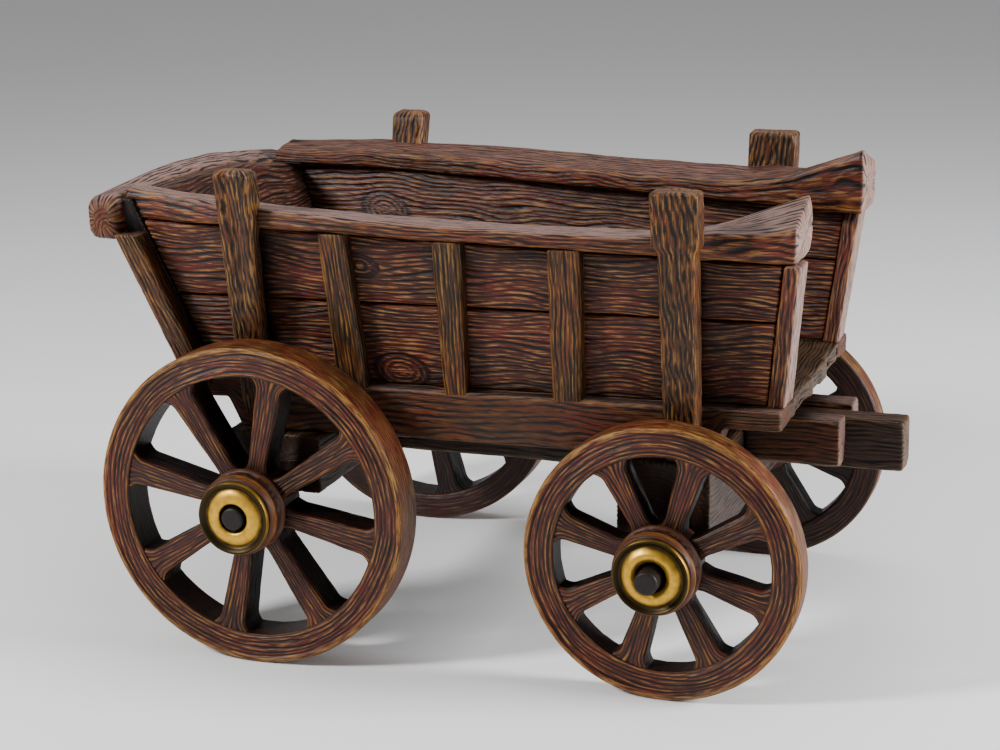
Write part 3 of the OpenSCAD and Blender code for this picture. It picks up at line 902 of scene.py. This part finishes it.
def top_rail(side, seed):
    """A wide worn top rail. The left one sits lower at the back and higher along the middle."""
    (x0, _, _), (x1, _, _) = box_mm("top_rail_right")
    inside_x, inside_y = [x0, REAR_X, FRONT_X + 8, x1], [110, 113, 84, 70]
    nose = 4 if side > 0 else -6
    outside_x = [x0, REAR_X - 30, REAR_X + 40, REAR_X + 150, FRONT_X + 6, FRONT_X + 26, x1]
    outside_y = [147, 157, 158, 152, 140, 131, 124]

    def section_at(u):
        x = x0 - 6 + (x1 + nose - x0 + 6) * u
        inner = np.interp(x, inside_x, inside_y)
        outer = np.interp(x, outside_x, outside_y)
        horn = ease((x - FRONT_X) / 80)
        lift = np.interp(x, (x0, x0 + 70, REAR_X + 100, x1), (-8, 0, 6, 4)) if side > 0 else 0
        top, low = rail_over(x) + lift, rail_under(x)
        under_edge = 2.5 * ease((x - x0 - 30) / 60) * (1 - ease((x - FRONT_X + 20) / 45))
        z = (low + under_edge, top - 17 * horn, top - 5 * (1 - horn), low)
        return section((x,) * 4, (side * outer, side * outer, side * inner, side * inner), z)

    # painted light: the left rail's top is painted less pale than the right rail's
    rail_top_light = 0.62 if side > 0 else 1.0
    return timber(section_at, RAIL, seed, corner=5, ends=(3.5, 4), painted_light=(rail_top_light, 1))


def rear_stake(side, seed):
    """Upright in the length of the wagon, leaning out, with a thick head and a shallow flute."""
    (x0, _, z0), (x1, _, z1) = box_mm("rear_stake_right")
    lean, outer_top, thick, head, spread = 0.19, 176, 16.3, 8, 9
    along, short = (6, 3) if side > 0 else (0, 0)

    def section_at(u):
        z = z0 + (z1 - short - z0) * u
        left = x0 + along
        right = x1 + along - spread + spread * u
        outer = outer_top - lean * (z1 - z)
        inner = outer - thick - head * ease((u - 0.72) / 0.1)
        ys = (side * outer, side * outer, side * inner, side * inner)
        return section((left, right, right, left), ys, (z,) * 4)

    def flute(u, a, b):
        middle = np.exp(-(((a + 0.05 - 0.25 * waves(u * 4, 0.5, seed)) / 0.28) ** 2))
        return 2.4 * middle * ease((-b - 0.6) / 0.3) * ease((u - 0.45) / 0.2)

    return timber(section_at, STAKE, seed, corner=5, ends=(2, 6), hollow=flute)


def front_stake(side, seed):
    """A wide stake with a square head that stands proud of its shaft by a small step."""
    (_, _, z0), (_, _, z1) = box_mm("front_stake_right")
    lean, thick, outer_top, head_length = 0.1, 20, 158, 44
    neck = (z1 - head_length - z0) / (z1 - z0)
    wide, short = (4, 3) if side > 0 else (0, 0)

    def section_at(u):
        z = z0 + (z1 - short - z0) * u
        head = ease((u - neck) / 0.03)
        left = FRONT_X - 6 - 2 * np.minimum(u / neck, 1) - 4 * head
        right = FRONT_X + 18 + 2 * np.minimum(u / neck, 1) + 3 * head + wide
        outer = outer_top - lean * (z1 - z)
        inner = outer - thick
        ys = (side * outer, side * outer, side * inner, side * inner)
        return section((left, right, right, left), ys, (z,) * 4)

    def step(u, a, b):
        return 1.2 * ease((neck + 0.02 - u) / 0.02) * ease((-b - 0.6) / 0.3)

    return timber(section_at, STAKE, seed, corner=3, ends=(2, 3.5), hollow=step)


# each knot: a point on the board's face and its size
KNOTS = {
    "board_lower_right": [((-54, -124, 213), 14)],
    "board_upper_right": [((-79, -137, 293), 9)],
    "board_lower_left": [((-20, 124, 226), 10)],
    "board_upper_left": [((-163, 118, 284), 14)],
}

for side_name, side in SIDES.items():
    out = (0, side, 0)
    seed = 400 + 100 * (side > 0)
    for number, name in enumerate(("board_lower", "board_upper")):
        node = f"{name}_{side_name}"
        board = straight_from(node, ALONG_X, out)
        shape = timber(board, BOARD, seed + number, corner=2.4, knots=KNOTS[node], across=0.7)
        fixed(node, shape, BOARD_FINISH, "board_timber")
    for number in (1, 2, 3):
        node = f"batten_{number}_{side_name}"
        batten = straight_from(node, ALONG_Z, out, sink=3, reach=4)
        fixed(node, timber(batten, BATTEN, seed + 10 + number, corner=4.5), FRAME_FINISH, "frame_timber")
    node = f"front_post_{side_name}"
    # painted light on the front post's upper and forward faces
    shape = timber(straight_from(node, ALONG_Z, out, reach=1), POST, seed + 21, corner=3.2, painted_light=(1, 1))
    fixed(node, shape, RAIL_FINISH, "frame_timber")
    node = f"rear_post_{side_name}"
    shape = timber(straight_from(node, ALONG_Z, out, sink=2, reach=7), POST, seed + 22, corner=4)
    fixed(node, shape, FRAME_FINISH, "frame_timber")
    fixed(f"sill_{side_name}", sill(side, seed + 23), SILL_FINISH, "frame_timber")
    fixed(f"top_rail_{side_name}", top_rail(side, seed + 24), RAIL_FINISH, "rail_timber")
    fixed(f"rear_stake_{side_name}", rear_stake(side, seed + 25), FRAME_FINISH, "frame_timber")
    fixed(f"front_stake_{side_name}", front_stake(side, seed + 26), FRAME_FINISH, "frame_timber")
    for name, finish in (("chassis_rail", BEAM_FINISH), ("hound", SILL_FINISH)):
        node = f"{name}_{side_name}"
        beam = straight_from(node, ALONG_X, out)
        # painted light on the upper and forward faces of these beams
        shape = timber(beam, BEAM, seed + 27, corner=5, across=0.9, painted_light=(1, 0.9))
        fixed(node, shape, finish, "frame_timber")


# ---- ends, deck and running gear ----


REAR_BOARD_T = 18


def rail_inner_top(y):
    """Inner top edge of the rear rail, which sinks towards the left end."""
    high = box_mm("rear_rail")[1][2]
    return np.interp(y, (-160, -44, 36, 160), (high - 4, high - 6, high - 10, high - 29))


def rear_rail(seed):
    """The thick rail over the back, bowed outwards and arched, with heavily rounded ends."""
    (x0, y0, z0), (x1, y1, z1) = box_mm("rear_rail")

    def section_at(u):
        y = y0 + (y1 - y0) * u
        back = x0 + 6 * (y / y1) ** 2
        over = np.interp(y, (y0, -30, 53, y1), (z1 - 7, z1 - 0.5, z1 - 4, z1 - 17))
        return section((back, back, x1, x1), (y,) * 4, (z0, over, rail_inner_top(y), z0))

    return timber(section_at, dict(RAIL, uneven=0.7), seed, corner=10, ends=(9, 9))


def rear_board(node, seed, under_rail):
    """A board of the leaning back. Its showing side is the outer one, and the upper board ends
    below the rail's inner top edge."""
    corners = np.array([vertex.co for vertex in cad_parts[node].data.vertices]) / MM
    z0, z1 = corners[:, 2].min(), corners[:, 2].max()
    half_low = corners[corners[:, 2] < z0 + 1, 1].max()
    half_high = corners[corners[:, 2] > z1 - 1, 1].max()

    def section_at(u):
        low_y, high_y = (2 * u - 1) * half_low, (2 * u - 1) * half_high
        high = np.minimum(z1, rail_inner_top(high_y) - 2) if under_rail else z1
        foot, head = back_edge(z0), back_edge(high)
        xs = (foot - REAR_BOARD_T, head - REAR_BOARD_T, head, foot)
        return section(xs, (low_y, high_y, high_y, low_y), (z0, high, high, z0))

    # painted shade: the board is darkened at both ends, in the corners
    def painted_shade(u, a, b):
        return 0.9 * ease((0.03 - np.minimum(u, 1 - u)) / 0.02)

    return timber(section_at, BOARD, seed, corner=2.4, across=0.8, painted_shade=painted_shade)


def ragged_front(u, a, b):
    """The front plank's front edge is broken in long waves."""
    broken = 3 + 4 * waves(u * 8, 0.3, 77) + 1.8 * waves(u * 22, 0.6, 78)
    return np.clip(broken, 0, 8) * ease((a - 0.7) / 0.25)


FORWARD, UPWARD, RIGHTWARD = (1, 0, 0), (0, 0, 1), (0, -1, 0)
fixed("rear_rail", rear_rail(600), RAIL_FINISH, "rail_timber")
for number, node in enumerate(("rear_board_lower", "rear_board_upper")):
    shape = rear_board(node, 610 + number, under_rail=node == "rear_board_upper")
    fixed(node, shape, SHADED_BOARD_FINISH, "board_timber")
for number in range(1, 6):
    node = f"floor_plank_{number}"
    shape = timber(straight_from(node, ALONG_Y, UPWARD), DECK, 620 + number, corner=1.8, across=1.0)
    fixed(node, shape, DECK_FINISH, "floor_timber")
front_plank = straight_from("floor_plank_front", ALONG_Y, UPWARD, reach=-2.5)
# painted light on the front plank's upper and forward faces
shape = timber(front_plank, DECK, 630, corner=3, hollow=ragged_front, painted_light=(1, 1))
fixed("floor_plank_front", shape, DECK_FINISH, "floor_timber")
# painted light on the pole's upper and forward faces
shape = timber(straight_from("pole", ALONG_X, RIGHTWARD), BEAM, 640, corner=3.2, ends=(2, 3), painted_light=(1, 1))
fixed("pole", shape, BEAM_FINISH, "frame_timber")
for number, node in enumerate(("rear_bolster", "front_bolster")):
    shape = timber(straight_from(node, ALONG_Y, FORWARD), BEAM, 650 + number, corner=2, across=1.1)
    fixed(node, shape, BEAM_FINISH, "frame_timber")
for number, node in enumerate(("rear_axle_block", "front_axle_block")):
    fixed(node, timber(box_from(node), BEAM, 660 + number, corner=4, across=1.0), BEAM_FINISH, "frame_timber")


# ---- camera, floor and light ----


def aim_camera():
    """A short telephoto, low and a little towards the front of the wagon."""
    azimuth, elevation, roll = math.radians(19.69), math.radians(14.95), math.radians(-1.10)
    level = math.cos(elevation)
    back = Vector((math.sin(azimuth) * level, -math.cos(azimuth) * level, math.sin(elevation)))
    right = Vector((math.cos(azimuth), math.sin(azimuth), 0))
    up = back.cross(right)
    across = right * math.cos(roll) + up * math.sin(roll)
    upright = up * math.cos(roll) - right * math.sin(roll)
    camera = bpy.data.objects.new("camera", bpy.data.cameras.new("camera"))
    camera.data.lens = 77.6
    camera.data.sensor_width = 36
    place = Matrix((across, upright, back)).transposed().to_4x4()
    place.translation = (0.5239, -1.5286, 0.6143)
    camera.matrix_world = place
    bpy.context.scene.collection.objects.link(camera)
    bpy.context.scene.camera = camera


def lay_floor():
    """A plain pale studio floor."""
    mesh = bpy.data.meshes.new("studio_floor")
    half = 8.0
    corners = [(-half, -half, 0), (half, -half, 0), (half, half, 0), (-half, half, 0)]
    mesh.from_pydata(corners, [], [(0, 1, 2, 3)])
    material, _, shader = finish_of("pale_floor")
    shader.inputs["Base Color"].default_value = (0.9, 0.9, 0.9, 1)
    shader.inputs["Roughness"].default_value = 0.8
    mesh.materials.append(material)
    floor = bpy.data.objects.new("studio_floor", mesh)
    bpy.context.scene.collection.objects.link(floor)


def soft_light(name, place, power, size):
    """A large soft lamp that looks at the wagon's middle."""
    lamp = bpy.data.lights.new(name, "AREA")
    lamp.energy = power
    lamp.size = size
    made = bpy.data.objects.new(name, lamp)
    made.location = place
    made.rotation_euler = (Vector((0, 0, 0.2)) - Vector(place)).to_track_quat("-Z", "Y").to_euler()
    bpy.context.scene.collection.objects.link(made)


aim_camera()
lay_floor()
soft_light("key_from_upper_left", (-1.35, -1.35, 1.35), 56, 0.35)
soft_light("side_light_from_the_front", (2.0, 0.1, 0.8), 75, 0.6)
soft_light("top_light", (0.0, 0.5, 1.9), 9, 1.4)
world = bpy.data.worlds.new("studio_air")
world.use_nodes = True
world.node_tree.nodes["Background"].inputs["Color"].default_value = (1, 1, 1, 1)
world.node_tree.nodes["Background"].inputs["Strength"].default_value = 0.32
bpy.context.scene.world = world
